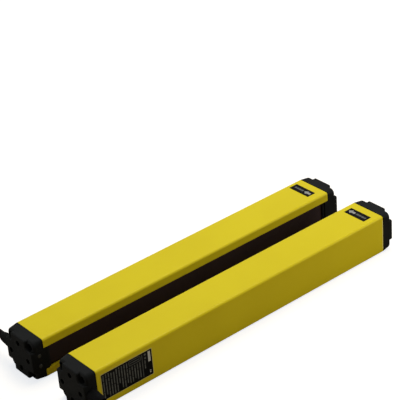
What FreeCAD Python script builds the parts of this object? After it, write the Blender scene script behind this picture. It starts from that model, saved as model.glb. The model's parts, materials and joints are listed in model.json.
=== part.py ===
import FreeCAD, Part
import math
import os

# Safety light curtain: an emitter bar and a receiver bar that face each other across a gap.
# Frame: X runs along the bars from the cable ends to the blind ends, Y runs across the gap from
# the emitter to the receiver, and Z points up from the surface that both bars lie on.
# All sizes are in millimetres.

# Driving dimensions
SECTION = 30.0              # side of the square housing section
HOUSING_LENGTH = 258.0      # cut length of the extrusion
BAR_GAP = 23.2              # free space between the two windows' sides
RECEIVER_SHIFT = -3.2       # the receiver lies this much nearer to the cable end
BEAM_COUNT = 12
BEAM_PITCH = 20.0

# Housing section
EDGE_ROUND = 1.8
WALL = 2.0
LIP_WIDTH = 6.6             # each lip beside the window
LIP_THICK = 2.1             # how far the window lies behind the lips
PANE_THICK = 1.6
PANE_OVERLAP = 0.7          # how far the pane reaches behind each lip
CORNER_BLOCK = 6.8          # solid corner that holds a screw port
BLOCK_ROUND = 2.6
SCREW_INSET = 4.2           # screw axis from each outer side
PORT_RADIUS = 1.3
RIB_WIDTH = 1.0
RIB_HEIGHT = 1.3

# End caps, measured outwards from the cut end of the extrusion
GASKET_THICK = 0.5
CAP_DEPTH = 10.0            # to the end face of the raised middle
SHOULDER_DEPTH = 7.8        # to the four lower corners
POCKET_FLOOR = 3.2          # seat of the screw heads
POCKET_RADIUS = 2.6
CORNER_ROUND_OUT = 4.6      # edge of the cap's corner at the shoulder
SHOULDER_ROUND = 1.8
FACE_ROUND = 1.25
HOLLOW_HALF = 6.5
HOLLOW_DEPTH = 8.0
CAP_SCREW_HOLE = 1.4
TONGUE_LENGTH = 2.8         # reaches into the window channel
TONGUE_PLAY = 0.05
SEAL_LENGTH = 1.7
SEAL_RECESS = 0.9
DIMPLE_RADIUS = 1.95
DIMPLE_DEPTH = 1.8
DIMPLE_RING = 9.7           # radius of the ring of four pilot holes in the end face
OUTLET_DEPTH = 4.7          # axis of the cable outlet
OUTLET_RADIUS = 3.0
INDICATOR_DEPTH = 4.0
INDICATOR_OFFSET = 4.05     # each side of the middle
INDICATOR_RADIUS = 1.4
INDICATOR_SOCKET = 2.5
INDICATOR_PROUD = 0.3

# Cap screws
HEAD_RADIUS = 2.5
HEAD_HEIGHT = 2.0           # straight side of the head
HEAD_DOME = 1.0
SHANK_RADIUS = 1.25
SHANK_IN_PORT = 7.0
SOCKET_ACROSS = 2.0
SOCKET_DEPTH = 1.3

# Optics and electronics
BOARD_THICK = 1.6
BOARD_CLEAR = 0.1
BEAM_BOARD_Y = 0.4          # back face of the beam board
BEAM_BOARD_INSET = 4.0
CONTROL_BOARD_Y = -5.2
CONTROL_BOARD_START = 6.0
CONTROL_BOARD_END = 150.0
CARRIER_HALF = 6.8
CARRIER_RIM = 0.8
LENS_PLATE = 1.0
LENS_RADIUS = 5.4
LENS_HEIGHT = 1.7
OPTICS_INSET = 6.5
BEAM_HOLE_RADIUS = 2.2
DIODE_BASE = 0.8
DIODE_RADIUS = 1.7
DIODE_LENS = 1.2
SENSOR_SIDE = 2.8

# Bodies on the back of the control board: start, end, height above the board and half width
CONTROL_BODIES = {
    "terminal block": (8.0, 20.0, 6.0, 6.0),
    "transformer": (28.0, 44.0, 6.5, 7.0),
    "processor": (54.0, 68.0, 1.6, 7.0)}
CAPACITOR_PLACES = (80.0, 92.0)
CAPACITOR_RADIUS = 3.15
CAPACITOR_HEIGHT = 7.0
LINK_START = 104.0
LINK_END = 124.0
LINK_HALF_WIDTH = 2.5
LENS_AIR = 0.3              # between the lens tops and the pane

# Labels
LABEL_THICK = 0.15
LABEL_LENGTH = 19.6
LABEL_WIDTH = 7.5
EMITTER_LABEL_END = 6.6     # from the blind end of the extrusion
EMITTER_LABEL_INSET = 5.2   # from the window side
RECEIVER_LABEL_END = 6.4
RECEIVER_LABEL_INSET = 6.4
PLATE_START = 3.6
PLATE_LENGTH = 40.7
PLATE_LOW = 5.6
PLATE_HIGH = 25.3
PLATE_ROUND = 0.8

# Receiver cable with its strain relief, coil and round plug
CABLE_RADIUS = 2.6
BOOT_LENGTH = 12.0
BOOT_ROOT = 4.35            # radius at the cap
BOOT_SHOULDER = 3.6         # radius where the taper ends
BOOT_TAPER = 8.0
BOOT_TIP = 2.85
COIL_CENTRE = (-180.4, 66.0)
COIL_RADIUS = 28.6          # middle of the turns
COIL_HALF_WIDTH = 2.75
COIL_EDGE = 2.6
COIL_CLIMB = (20.0, 30.0)   # where the turn climbs onto itself, in degrees from +X
COIL_SEAM = 1.0             # half width of the seam between the two layers
FLOOR_LEVEL = 2.7           # axis of the cable where it lies flat
PLUG_LEVEL = 7.4            # axis of the plug, which lies on its coupling nut
TAIL_LENGTH = 20.0
PLUG_GRIP_START = 14.2      # along the plug's axis, from where the cable enters
PLUG_GRIP_END = 27.0
PLUG_NUT_START = 27.2
PLUG_INSERT_START = 30.0
PLUG_INSERT_END = 36.0
PLUG_NUT_END = 40.0
PLUG_END = 46.0
PLUG_BACK = 3.3
PLUG_BODY = 5.9
PLUG_WAIST = 4.6
PLUG_NUT = 7.4
PLUG_NUT_BORE = 5.1
PLUG_THREAD = 6.0
PLUG_BEVEL = 0.6
PLUG_FLUTES = 18
FLUTE_RADIUS = 0.95
FLUTE_DEPTH = 0.4
FLUTE_LENGTH = 10.4
PIN_LENGTH = 8.0
PIN_RADIUS = 0.5
PIN_RING = 2.83

HALF = SECTION / 2.0
MID = SECTION / 2.0
X_MIDDLE = (HOUSING_LENGTH + RECEIVER_SHIFT) / 2.0
BAR_OFFSET = (BAR_GAP + SECTION) / 2.0
PLATE_SHIFT = LABEL_THICK / 2.0
WINDOW_Y = HALF - LIP_THICK             # outer face of the pane
PANE_BACK = WINDOW_Y - PANE_THICK
SCREW_PLACES = [(side_y * (HALF - SCREW_INSET), MID + side_z * (HALF - SCREW_INSET))
                for side_y in (-1, 1) for side_z in (-1, 1)]
CUT_SIZE = SCREW_INSET + POCKET_RADIUS  # corner cut-out of the cap's raised middle
FIRST_BEAM = (HOUSING_LENGTH - (BEAM_COUNT - 1) * BEAM_PITCH) / 2.0
BEAMS = [FIRST_BEAM + i * BEAM_PITCH for i in range(BEAM_COUNT)]

V = FreeCAD.Vector
ALONG = V(1, 0, 0)
ACROSS = V(0, 1, 0)
UP = V(0, 0, 1)
ORIGIN = V(0, 0, 0)


def box(x0, x1, y0, y1, z0, z1):
    return Part.makeBox(x1 - x0, y1 - y0, z1 - z0, V(x0, y0, z0))


def outline(corners, x=0.0):
    """Closed wire in a plane across X. Each corner is (y, z, radius), and radius 0 is sharp."""
    count = len(corners)
    stops = []
    for i in range(count):
        y, z, radius = corners[i]
        here = V(x, y, z)
        before = V(x, corners[i - 1][0], corners[i - 1][1]) - here
        after = V(x, corners[(i + 1) % count][0], corners[(i + 1) % count][1]) - here
        before.normalize()
        after.normalize()
        if radius == 0:
            stops.append((here, None, here))
            continue
        half_angle = before.getAngle(after) / 2.0
        reach = radius / math.tan(half_angle)
        inward = before + after
        inward.normalize()
        middle = here + inward * (radius / math.sin(half_angle) - radius)
        stops.append((here + before * reach, middle, here + after * reach))
    edges = []
    for i in range(count):
        start, middle, end = stops[i]
        following = stops[(i + 1) % count][0]
        if middle is not None:
            edges.append(Part.Arc(start, middle, end).toShape())
        edges.append(Part.LineSegment(end, following).toShape())
    return Part.Wire(edges)


def rectangle(y0, y1, z0, z1, radius=0.0, x=0.0):
    return outline([(y0, z0, radius), (y1, z0, radius), (y1, z1, radius), (y0, z1, radius)], x)


def prism(wire, length):
    return Part.Face(wire).extrude(ALONG * length)


def rod(radius, start, direction, length):
    return Part.makeCylinder(radius, length, start, direction)


def turned(profile):
    """Solid of revolution about X. The profile is a list of (x, radius) and ("arc", x, r, x, r)."""
    first = profile[0]
    here = V(first[0], first[1], 0)
    edges = [Part.LineSegment(V(first[0], 0, 0), here).toShape()]
    for step in profile[1:]:
        if step[0] == "arc":
            there = V(step[3], step[4], 0)
            edges.append(Part.Arc(here, V(step[1], step[2], 0), there).toShape())
        else:
            there = V(step[0], step[1], 0)
            edges.append(Part.LineSegment(here, there).toShape())
        here = there
    if here.y > 0:
        foot = V(here.x, 0, 0)
        edges.append(Part.LineSegment(here, foot).toShape())
        here = foot
    edges.append(Part.LineSegment(here, V(first[0], 0, 0)).toShape())
    return Part.Face(Part.Wire(edges)).revolve(ORIGIN, ALONG, 360)


def turned_along(profile, start, direction):
    """The turned solid, laid with its axis along direction from start."""
    solid = turned(profile)
    solid.Placement = FreeCAD.Placement(start, FreeCAD.Rotation(ALONG, direction))
    return solid


# ---- pieces of one bar, in the bar's own frame: cable end at x = 0, window towards +Y ----

def housing():
    """Square extrusion with the window channel, four screw ports and two pairs of board slots."""
    block = CORNER_BLOCK - HALF
    inner_low = WALL
    inner_high = SECTION - WALL
    low = CORNER_BLOCK
    high = SECTION - CORNER_BLOCK
    cavity = outline([
        (WALL - HALF, low, 0), (block, low, BLOCK_ROUND), (block, inner_low, 0),
        (-block, inner_low, 0), (-block, low, BLOCK_ROUND), (PANE_BACK, low, 0),
        (PANE_BACK, high, 0), (-block, high, BLOCK_ROUND), (-block, inner_high, 0),
        (block, inner_high, 0), (block, high, BLOCK_ROUND), (WALL - HALF, high, 0)])
    groove = rectangle(PANE_BACK, WINDOW_Y, LIP_WIDTH - PANE_OVERLAP,
                       SECTION - LIP_WIDTH + PANE_OVERLAP)
    channel = rectangle(WINDOW_Y, SECTION, LIP_WIDTH, SECTION - LIP_WIDTH)
    section = Part.Face(rectangle(-HALF, HALF, 0, SECTION, EDGE_ROUND))
    section = section.cut([Part.Face(cavity), Part.Face(groove), Part.Face(channel)])
    for y, z in SCREW_PLACES:
        section = section.cut(Part.Face(Part.Wire(Part.Circle(V(0, y, z), ALONG, PORT_RADIUS).toShape())))
    ribs = []
    for board_y in (BEAM_BOARD_Y, CONTROL_BOARD_Y):
        for rib_y in (board_y - RIB_WIDTH, board_y + BOARD_THICK):
            ribs.append(Part.Face(rectangle(rib_y, rib_y + RIB_WIDTH, WALL / 2.0, WALL + RIB_HEIGHT)))
            ribs.append(Part.Face(rectangle(rib_y, rib_y + RIB_WIDTH, inner_high - RIB_HEIGHT,
                                            SECTION - WALL / 2.0)))
    section = section.fuse(ribs).removeSplitter()
    return section.extrude(ALONG * HOUSING_LENGTH).Solids[0]


def window():
    start = TONGUE_LENGTH + SEAL_LENGTH
    low = LIP_WIDTH - PANE_OVERLAP
    return box(start, HOUSING_LENGTH - start, PANE_BACK, WINDOW_Y, low, SECTION - low)


def window_seals():
    """One rubber block at each end of the pane, filling the groove and part of the channel."""
    seals = []
    low = LIP_WIDTH - PANE_OVERLAP
    for start in (TONGUE_LENGTH, HOUSING_LENGTH - TONGUE_LENGTH - SEAL_LENGTH):
        end = start + SEAL_LENGTH
        in_groove = box(start, end, PANE_BACK, WINDOW_Y, low, SECTION - low)
        in_channel = box(start, end, WINDOW_Y, HALF - SEAL_RECESS, LIP_WIDTH, SECTION - LIP_WIDTH)
        seals.append(in_groove.fuse(in_channel).removeSplitter())
    return seals


def cap_body():
    """Moulded cap on the +X end: raised middle, four lower corners with deep screw pockets."""
    cut = CUT_SIZE
    far = SECTION - cut
    side = HALF - cut
    cross = outline([
        (-HALF, cut, FACE_ROUND), (-side, cut, POCKET_RADIUS), (-side, 0, FACE_ROUND),
        (side, 0, FACE_ROUND), (side, cut, POCKET_RADIUS), (HALF, cut, FACE_ROUND),
        (HALF, far, FACE_ROUND), (side, far, POCKET_RADIUS), (side, SECTION, FACE_ROUND),
        (-side, SECTION, FACE_ROUND), (-side, far, POCKET_RADIUS), (-HALF, far, FACE_ROUND)],
        GASKET_THICK)
    middle = prism(cross, CAP_DEPTH - GASKET_THICK)
    face_edges = [e for e in middle.Edges if e.BoundBox.XMin > CAP_DEPTH - 0.01]
    middle = middle.makeFillet(FACE_ROUND * 0.9, face_edges)
    near = rectangle(-HALF, HALF, 0, SECTION, EDGE_ROUND, GASKET_THICK)
    outer = rectangle(-HALF, HALF, 0, SECTION, CORNER_ROUND_OUT, SHOULDER_DEPTH)
    corners = Part.makeLoft([near, outer], True, True)
    rim = [e for e in corners.Edges if e.BoundBox.XMin > SHOULDER_DEPTH - 0.01]
    corners = corners.makeFillet(SHOULDER_ROUND, rim)
    return corners.fuse(middle).removeSplitter()


def cap_tongue():
    """Block that fills the window channel flush with the cap's side."""
    low = LIP_WIDTH + TONGUE_PLAY
    return box(-TONGUE_LENGTH, GASKET_THICK + 1.0, PANE_BACK, HALF, low, SECTION - low)


def end_cap(has_outlet):
    """End cap for the +X end. The cable-end caps have a cable outlet in the back and two indicators."""
    cap = cap_body().fuse(cap_tongue()).removeSplitter()
    tools = [box(0, HOLLOW_DEPTH, -HOLLOW_HALF, HOLLOW_HALF, MID - HOLLOW_HALF, MID + HOLLOW_HALF)]
    for y, z in SCREW_PLACES:
        tools.append(rod(POCKET_RADIUS, V(POCKET_FLOOR, y, z), ALONG, CAP_DEPTH))
        tools.append(rod(CAP_SCREW_HOLE, V(0, y, z), ALONG, CAP_DEPTH))
    for step in range(4):
        angle = step * math.pi / 2.0
        side = DIMPLE_RING * math.cos(angle)
        place = V(CAP_DEPTH - DIMPLE_DEPTH, side, MID + DIMPLE_RING * math.sin(angle))
        tools.append(rod(DIMPLE_RADIUS, place, ALONG, CAP_DEPTH))
    if has_outlet:
        tools.append(rod(OUTLET_RADIUS, V(OUTLET_DEPTH, 0, MID), -ACROSS, SECTION))
        for z in (MID - INDICATOR_OFFSET, MID + INDICATOR_OFFSET):
            place = V(INDICATOR_DEPTH, HALF - INDICATOR_SOCKET, z)
            tools.append(rod(INDICATOR_RADIUS, place, ACROSS, SECTION))
    return cap.cut(tools).removeSplitter().Solids[0]


def gasket():
    """Flat seal between the cap and the cut end, notched for the tongue."""
    sheet = prism(rectangle(-HALF + 0.3, HALF - 0.3, 0.3, SECTION - 0.3, EDGE_ROUND), GASKET_THICK)
    low = LIP_WIDTH + TONGUE_PLAY
    tools = [box(-1, 1, -HOLLOW_HALF, HOLLOW_HALF, MID - HOLLOW_HALF, MID + HOLLOW_HALF)]
    tools.append(box(-1, 1, PANE_BACK, SECTION, low, SECTION - low))
    for y, z in SCREW_PLACES:
        tools.append(rod(CAP_SCREW_HOLE, V(-1, y, z), ALONG, 2))
    return sheet.cut(tools)


def cap_screws():
    """Four domed screws with a hexagon socket, seated on the pocket floors."""
    screws = []
    top = POCKET_FLOOR + HEAD_HEIGHT + HEAD_DOME
    rise = HEAD_DOME * 0.72
    profile = [(-SHANK_IN_PORT, SHANK_RADIUS * 0.8), (0.5 - SHANK_IN_PORT, SHANK_RADIUS),
               (POCKET_FLOOR, SHANK_RADIUS), (POCKET_FLOOR, HEAD_RADIUS),
               (POCKET_FLOOR + HEAD_HEIGHT, HEAD_RADIUS),
               ("arc", POCKET_FLOOR + HEAD_HEIGHT + rise, HEAD_RADIUS * 0.6, top, 0.0)]
    radius = SOCKET_ACROSS / math.sqrt(3.0)
    hexagon = [V(top - SOCKET_DEPTH, radius * math.cos(i * math.pi / 3), radius * math.sin(i * math.pi / 3))
               for i in range(6)]
    socket = prism(Part.makePolygon(hexagon + hexagon[:1]), SOCKET_DEPTH + 1.0)
    screw = turned(profile).cut(socket)
    for y, z in SCREW_PLACES:
        copy = screw.copy()
        copy.translate(V(0, y, z))
        screws.append(copy)
    return screws


def optics_carrier():
    """Black bar with one tapered tube for each beam and two rims that hold the lens strip."""
    front = BEAM_BOARD_Y + BOARD_THICK
    lens_seat = PANE_BACK - LENS_PLATE - LENS_HEIGHT - LENS_AIR
    ends = (OPTICS_INSET, HOUSING_LENGTH - OPTICS_INSET)
    bar = box(ends[0], ends[1], front, PANE_BACK, MID - CARRIER_HALF, MID + CARRIER_HALF)
    recess = CARRIER_HALF - CARRIER_RIM
    tools = [box(0, HOUSING_LENGTH, lens_seat, PANE_BACK + 1, MID - recess, MID + recess)]
    for x in BEAMS:
        depth = lens_seat - front
        tools.append(Part.makeCone(BEAM_HOLE_RADIUS, LENS_RADIUS, depth, V(x, front, MID), ACROSS))
    return bar.cut(tools)


def lens_strip():
    """Moulded strip with one domed lens for each beam."""
    seat = PANE_BACK - LENS_PLATE - LENS_HEIGHT - LENS_AIR
    half = CARRIER_HALF - CARRIER_RIM
    strip = box(OPTICS_INSET, HOUSING_LENGTH - OPTICS_INSET, seat, seat + LENS_PLATE, MID - half, MID + half)
    ball = (LENS_RADIUS ** 2 + LENS_HEIGHT ** 2) / (2.0 * LENS_HEIGHT)
    angle = math.asin(LENS_RADIUS / ball) / 2.0
    base = LENS_PLATE / 2.0
    middle = (LENS_PLATE + LENS_HEIGHT - ball + ball * math.cos(angle), ball * math.sin(angle))
    profile = [(base, LENS_RADIUS), (LENS_PLATE, LENS_RADIUS),
               ("arc", middle[0], middle[1], LENS_PLATE + LENS_HEIGHT, 0.0)]
    domes = [turned_along(profile, V(x, seat, MID), ACROSS) for x in BEAMS]
    return strip.fuse(domes).removeSplitter()


def emitter_diodes():
    front = BEAM_BOARD_Y + BOARD_THICK
    profile = [(0, DIODE_RADIUS), (DIODE_BASE, DIODE_RADIUS), (DIODE_BASE, DIODE_LENS),
               (DIODE_BASE + DIODE_LENS, DIODE_LENS * 0.8)]
    return [turned_along(profile, V(x, front, MID), ACROSS) for x in BEAMS]


def receiver_sensors():
    front = BEAM_BOARD_Y + BOARD_THICK
    half = SENSOR_SIDE / 2.0
    return [box(x - half, x + half, front, front + DIODE_BASE, MID - half, MID + half) for x in BEAMS]


def beam_board():
    low = WALL + BOARD_CLEAR
    return box(BEAM_BOARD_INSET, HOUSING_LENGTH - BEAM_BOARD_INSET, BEAM_BOARD_Y,
               BEAM_BOARD_Y + BOARD_THICK, low, SECTION - low)


def control_board():
    low = WALL + BOARD_CLEAR
    return box(CONTROL_BOARD_START, CONTROL_BOARD_END, CONTROL_BOARD_Y,
               CONTROL_BOARD_Y + BOARD_THICK, low, SECTION - low)


def control_components():
    """Terminal block, transformer, processor and two capacitors on the back of the control board."""
    back = CONTROL_BOARD_Y
    parts = []
    for start, end, height, half in CONTROL_BODIES.values():
        parts.append(box(start, end, back - height, back, MID - half, MID + half))
    for x in CAPACITOR_PLACES:
        parts.append(rod(CAPACITOR_RADIUS, V(x, back - CAPACITOR_HEIGHT, MID), ACROSS, CAPACITOR_HEIGHT))
    return parts


def board_link():
    """Pin header that joins the two boards."""
    return box(LINK_START, LINK_END, CONTROL_BOARD_Y + BOARD_THICK, BEAM_BOARD_Y,
               MID - LINK_HALF_WIDTH, MID + LINK_HALF_WIDTH)


def indicator_lenses():
    """Two round indicator lenses in the window side of the cable-end cap, on the +X end."""
    start = HALF - INDICATOR_SOCKET
    length = INDICATOR_SOCKET + INDICATOR_PROUD
    bend = INDICATOR_PROUD * (1.0 - math.sqrt(0.5))
    profile = [(0, INDICATOR_RADIUS), (INDICATOR_SOCKET, INDICATOR_RADIUS),
               ("arc", length - bend, INDICATOR_RADIUS - bend, length, INDICATOR_RADIUS - INDICATOR_PROUD)]
    return [turned_along(profile, V(INDICATOR_DEPTH, start, MID + side * INDICATOR_OFFSET), ACROSS)
            for side in (-1, 1)]


def label(from_end, from_window):
    """Thin label on the top face near the blind end."""
    end = HOUSING_LENGTH - from_end
    high = HALF - from_window
    return box(end - LABEL_WIDTH, end, high - LABEL_LENGTH, high, SECTION, SECTION + LABEL_THICK)


def data_plate():
    """Thin plate on the back of the emitter."""
    wire = rectangle(PLATE_START, PLATE_START + PLATE_LENGTH, PLATE_LOW, PLATE_HIGH, PLATE_ROUND)
    plate = prism(wire, LABEL_THICK)
    plate.rotate(ORIGIN, UP, 90)
    plate = plate.mirror(ORIGIN, ALONG)
    plate.translate(V(0, -HALF - LABEL_THICK, 0))
    return plate


def strain_relief():
    """Flared boot round the cable, with its shank in the cap's outlet."""
    inside = HALF - HOLLOW_HALF
    profile = [(-inside, OUTLET_RADIUS), (0, OUTLET_RADIUS), (0, BOOT_ROOT),
               (BOOT_TAPER, BOOT_SHOULDER),
               ("arc", (BOOT_TAPER + BOOT_LENGTH) / 2.0, (BOOT_SHOULDER + BOOT_TIP) / 2.0 + 0.12,
                BOOT_LENGTH, BOOT_TIP)]
    return turned_along(profile, V(OUTLET_DEPTH, -HALF, MID), -ACROSS)


def cable_grommet():
    """The same boot on the emitter, as an open sleeve for a cable that isn't part of this model."""
    bore = rod(CABLE_RADIUS, V(OUTLET_DEPTH, 0, MID), -ACROSS, SECTION + BOOT_LENGTH)
    return strain_relief().cut(bore)


# ---- placing ----

def at_cable_end(shape):
    """Turns a piece made for the +X end into its twin at the cable end."""
    return shape.mirror(ORIGIN, ALONG)


def at_blind_end(shape):
    moved = shape.copy()
    moved.translate(V(HOUSING_LENGTH, 0, 0))
    return moved


def in_pair(shape, unit):
    """Moves a piece from its bar's frame to the frame of the pair."""
    placed = shape.copy()
    if unit == "receiver":
        placed = placed.mirror(ORIGIN, ACROSS)
        placed.translate(V(RECEIVER_SHIFT - X_MIDDLE, BAR_OFFSET + PLATE_SHIFT, 0))
    else:
        placed.translate(V(-X_MIDDLE, PLATE_SHIFT - BAR_OFFSET, 0))
    return placed


def save(node, pieces):
    if not isinstance(pieces, list):
        pieces = [pieces]
    for piece in pieces:
        if not piece.isValid() or piece.Volume <= 0:
            raise ValueError(node + " holds a piece that is not a valid solid")
    shape = pieces[0] if len(pieces) == 1 else Part.makeCompound(pieces)
    shape.exportStep(os.path.join("parts", node + ".step"))
    volume = sum(piece.Volume for piece in pieces)
    print("%-28s %2d solids %10.1f mm3" % (node, len(pieces), volume))


def save_unit(unit, name, pieces):
    if not isinstance(pieces, list):
        pieces = [pieces]
    save(unit + "_" + name, [in_pair(piece, unit) for piece in pieces])


# ---- the receiver's cable, in the frame of the pair ----

OUTLET_X = RECEIVER_SHIFT - X_MIDDLE - OUTLET_DEPTH
OUTLET_Y = BAR_OFFSET + PLATE_SHIFT + HALF
ROUTE = [(OUTLET_X, OUTLET_Y + BOOT_LENGTH, 15.0),
         (OUTLET_X, OUTLET_Y + BOOT_LENGTH + 9.3, 15.0),
         (-137.6, 72.1, 14.0),
         (-142.2, 80.4, 11.5),
         (-148.9, 87.3, 7.8),
         (-157.05, 92.2, 4.45),
         (-166.2, 94.6, FLOOR_LEVEL),
         (-175.4, 94.6, FLOOR_LEVEL)]


def route_path(points, share=0.45):
    """Straight runs joined by tangent arcs, each as large as its two runs allow."""
    spots = [V(*p) for p in points]
    edges = []
    radii = []
    here = spots[0]
    for before, corner, after in zip(spots, spots[1:], spots[2:]):
        back = before - corner
        ahead = after - corner
        reach = share * min(back.Length, ahead.Length)
        back.normalize()
        ahead.normalize()
        half_angle = back.getAngle(ahead) / 2.0
        radius = reach * math.tan(half_angle)
        inward = back + ahead
        inward.normalize()
        start = corner + back * reach
        middle = corner + inward * (radius / math.sin(half_angle) - radius)
        end = corner + ahead * reach
        edges.append(Part.LineSegment(here, start).toShape())
        edges.append(Part.Arc(start, middle, end).toShape())
        radii.append(radius)
        here = end
    edges.append(Part.LineSegment(here, spots[-1]).toShape())
    return Part.Wire(edges), radii


def cable_lead():
    path, radii = route_path(ROUTE)
    first = V(*ROUTE[1]) - V(*ROUTE[0])
    ring = Part.Wire(Part.Circle(V(*ROUTE[0]), first, CABLE_RADIUS).toShape())
    tube = path.makePipe(Part.Face(ring))
    expected = math.pi * CABLE_RADIUS ** 2 * path.Length
    print("cable lead: length %.1f mm, radii %s" % (path.Length, ", ".join("%.1f" % r for r in radii)))
    print("cable lead: volume %.1f mm3, section times length %.1f mm3" % (tube.Volume, expected))
    return tube


def swept_turn(low, high, half_width, edge, first, last):
    """Part of a ring round the coil's centre, from one angle to another in degrees from +X."""
    section = rectangle(COIL_RADIUS - half_width, COIL_RADIUS + half_width, low, high, edge)
    turn = Part.Face(section).revolve(ORIGIN, UP, last - first)
    turn.rotate(ORIGIN, UP, first - 90.0)
    return turn


def cable_coil():
    """Outer shape of the stored turns: one turn on the floor that climbs onto its own start."""
    x, y = COIL_CENTRE
    layer = 2.0 * FLOOR_LEVEL
    climb_start, climb_end = COIL_CLIMB
    turns = swept_turn(0, layer, COIL_HALF_WIDTH, COIL_EDGE, 90.0, 360.0 + climb_end)
    pieces = [swept_turn(layer, 2.0 * layer, COIL_HALF_WIDTH, COIL_EDGE, climb_start, 180.0)]
    for first, last in (COIL_CLIMB, (90.0, 180.0)):
        pieces.append(swept_turn(layer - COIL_SEAM, layer + COIL_SEAM, COIL_SEAM, 0, first, last))
    turns = turns.fuse(pieces)
    turns.translate(V(x, y, 0))
    lead_end = V(*ROUTE[-1])
    lead_stub = rod(CABLE_RADIUS, lead_end, -ALONG, lead_end.x - x)
    tail_start = V(x - COIL_RADIUS, y, PLUG_LEVEL)
    tail_stub = rod(CABLE_RADIUS, tail_start, -ACROSS, TAIL_LENGTH)
    return turns.fuse([lead_stub, tail_stub]).removeSplitter()


def plug_part(profile):
    start = V(COIL_CENTRE[0] - COIL_RADIUS, COIL_CENTRE[1] - TAIL_LENGTH, PLUG_LEVEL)
    return turned_along(profile, start, -ACROSS)


def plug_body():
    """Moulded grip of the round plug."""
    grip = PLUG_GRIP_START
    end = PLUG_GRIP_END
    return plug_part([(0, PLUG_BACK), (grip - 3.2, PLUG_WAIST),
                      ("arc", grip - 1.6, PLUG_WAIST + 0.5, grip - 0.6, PLUG_BODY - 0.2),
                      (grip, PLUG_BODY), (end - PLUG_BEVEL, PLUG_BODY), (end, PLUG_BODY - PLUG_BEVEL),
                      (end, PLUG_NUT_BORE), (PLUG_INSERT_START, PLUG_NUT_BORE)])


def plug_nut():
    """Fluted coupling nut with a plain sleeve where its thread is cut."""
    start = PLUG_NUT_START
    end = PLUG_NUT_END
    bevel = PLUG_BEVEL
    nut = plug_part([(start, PLUG_NUT - bevel), (start + bevel, PLUG_NUT), (end - bevel, PLUG_NUT),
                     (end, PLUG_NUT - bevel), (end, PLUG_THREAD), (PLUG_END - bevel, PLUG_THREAD),
                     (PLUG_END, PLUG_THREAD - 0.5)])
    tools = [plug_part([(PLUG_GRIP_END, PLUG_NUT_BORE), (PLUG_END + 1.0, PLUG_NUT_BORE)])]
    flute_start = (start + end - FLUTE_LENGTH) / 2.0
    for i in range(PLUG_FLUTES):
        angle = 2.0 * math.pi * (i + 0.5) / PLUG_FLUTES
        reach = PLUG_NUT + FLUTE_RADIUS - FLUTE_DEPTH
        place = V(COIL_CENTRE[0] - COIL_RADIUS + reach * math.cos(angle),
                  COIL_CENTRE[1] - TAIL_LENGTH - flute_start, PLUG_LEVEL + reach * math.sin(angle))
        tools.append(rod(FLUTE_RADIUS, place, -ACROSS, FLUTE_LENGTH))
    return nut.cut(tools).Solids[0]


def plug_insert():
    return plug_part([(PLUG_INSERT_START, PLUG_NUT_BORE), (PLUG_INSERT_END, PLUG_NUT_BORE)])


def plug_pins():
    pins = []
    centre = V(COIL_CENTRE[0] - COIL_RADIUS, COIL_CENTRE[1] - TAIL_LENGTH - PLUG_INSERT_END, PLUG_LEVEL)
    places = [(0.0, 0.0)]
    for i in range(4):
        angle = math.pi * (i + 0.5) / 2.0
        places.append((PIN_RING * math.cos(angle), PIN_RING * math.sin(angle)))
    for x, z in places:
        pins.append(rod(PIN_RADIUS, centre + V(x, 0, z), -ACROSS, PIN_LENGTH))
    return pins


os.makedirs("parts", exist_ok=True)

for unit_name in ("emitter", "receiver"):
    save_unit(unit_name, "housing", housing())
    save_unit(unit_name, "window", window())
    save_unit(unit_name, "window_seals", window_seals())
    save_unit(unit_name, "cable_end_cap", at_cable_end(end_cap(True)))
    save_unit(unit_name, "blind_end_cap", at_blind_end(end_cap(False)))
    save_unit(unit_name, "cable_end_gasket", at_cable_end(gasket()))
    save_unit(unit_name, "blind_end_gasket", at_blind_end(gasket()))
    save_unit(unit_name, "cable_end_screws", [at_cable_end(s) for s in cap_screws()])
    save_unit(unit_name, "blind_end_screws", [at_blind_end(s) for s in cap_screws()])
    save_unit(unit_name, "optics_carrier", optics_carrier())
    save_unit(unit_name, "lens_strip", lens_strip())
    save_unit(unit_name, "beam_board", beam_board())
    save_unit(unit_name, "control_board", control_board())
    save_unit(unit_name, "control_components", control_components())
    save_unit(unit_name, "board_link_header", board_link())
    save_unit(unit_name, "indicator_lenses", [at_cable_end(p) for p in indicator_lenses()])

save_unit("emitter", "light_diodes", emitter_diodes())
save_unit("receiver", "light_sensors", receiver_sensors())
save_unit("emitter", "arrow_label", label(EMITTER_LABEL_END, EMITTER_LABEL_INSET))
save_unit("receiver", "arrow_label", label(RECEIVER_LABEL_END, RECEIVER_LABEL_INSET))
save_unit("emitter", "data_plate", data_plate())
save_unit("emitter", "cable_grommet", at_cable_end(cable_grommet()))
save_unit("receiver", "strain_relief", at_cable_end(strain_relief()))
save("receiver_cable_lead", cable_lead())
save("receiver_cable_coil", cable_coil())
save("receiver_plug_body", plug_body())
save("receiver_plug_nut", plug_nut())
save("receiver_plug_insert", plug_insert())
save("receiver_plug_pins", plug_pins())
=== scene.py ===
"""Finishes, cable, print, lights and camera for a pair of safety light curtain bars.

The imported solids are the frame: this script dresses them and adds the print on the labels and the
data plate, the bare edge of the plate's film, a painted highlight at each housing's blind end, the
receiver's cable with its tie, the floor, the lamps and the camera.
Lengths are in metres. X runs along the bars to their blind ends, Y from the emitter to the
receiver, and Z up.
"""

import json
import logging
import math
from dataclasses import dataclass
from enum import Enum
from typing import Sequence

import bpy
import numpy as np
from mathutils import Matrix, Vector


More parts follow.
